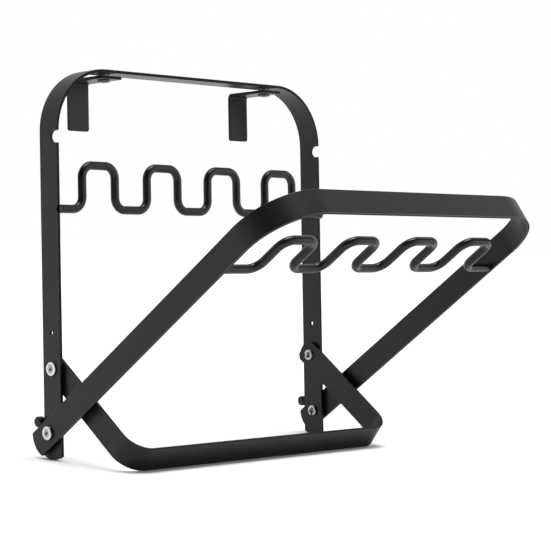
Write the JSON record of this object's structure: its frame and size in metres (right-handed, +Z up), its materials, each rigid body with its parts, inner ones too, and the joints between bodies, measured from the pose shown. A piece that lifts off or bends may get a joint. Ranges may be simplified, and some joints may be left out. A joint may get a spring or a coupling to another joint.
{
  "type": "folding storage rack",
  "caption": "Folding rack of black flat steel strip: a leaning back frame with swivelling hooks, a hinged carrier frame and foot frame, and humped round-bar rests.",
  "frame": {"origin": "on the floor, under the middle of the open rack's bounding box", "axes": "+X across the rack from its left leg to its right leg, -Y towards the front, where the carrier frame reaches, +Z up"},
  "size_m": [0.3748, 0.363, 0.3707],
  "materials": {
    "black_powder_coat": "satin black powder coat",
    "zinc_rivet": "bright zinc plate",
    "zinc_spacer": "dull zinc plate"
  },
  "bodies": {
    "rack_body": {"back_frame": "black_powder_coat", "back_rest": "black_powder_coat", "left_stop_peg": "black_powder_coat", "right_stop_peg": "black_powder_coat", "left_carrier_rivet": "zinc_rivet", "left_foot_rivet": "zinc_rivet", "left_hook_rivet": "zinc_rivet", "right_carrier_rivet": "zinc_rivet", "right_foot_rivet": "zinc_rivet", "right_hook_rivet": "zinc_rivet", "left_carrier_spacer": "zinc_spacer", "left_foot_spacer": "zinc_spacer", "left_hook_spacer": "zinc_spacer", "right_carrier_spacer": "zinc_spacer", "right_foot_spacer": "zinc_spacer", "right_hook_spacer": "zinc_spacer"},
    "carrier": {"carrier_frame": "black_powder_coat", "carrier_rest": "black_powder_coat"},
    "foot": {"foot_frame": "black_powder_coat"},
    "left_hook_arm": {"left_hook": "black_powder_coat"},
    "right_hook_arm": {"right_hook": "black_powder_coat"}
  },
  "joints": [
    {"name": "carrier_fold", "type": "hinge", "parent": "rack_body", "child": "carrier", "pos_m": [0, 0.11559, 0.02531], "axis": [-1, 0, 0], "range_deg": [0, 56.1]},
    {"name": "foot_fold", "type": "hinge", "parent": "rack_body", "child": "foot", "pos_m": [0, 0.12003, 0.08504], "axis": [-1, 0, 0], "range_deg": [0, 128.2]},
    {"name": "left_hook_swivel", "type": "hinge", "parent": "rack_body", "child": "left_hook_arm", "pos_m": [-0.1098, 0.14091, 0.36607], "axis": [0, -0.0741, -0.9973], "range_deg": [0, 90]},
    {"name": "right_hook_swivel", "type": "hinge", "parent": "rack_body", "child": "right_hook_arm", "pos_m": [0.1098, 0.14091, 0.36607], "axis": [0, 0.0741, 0.9973], "range_deg": [0, 90]}
  ]
}
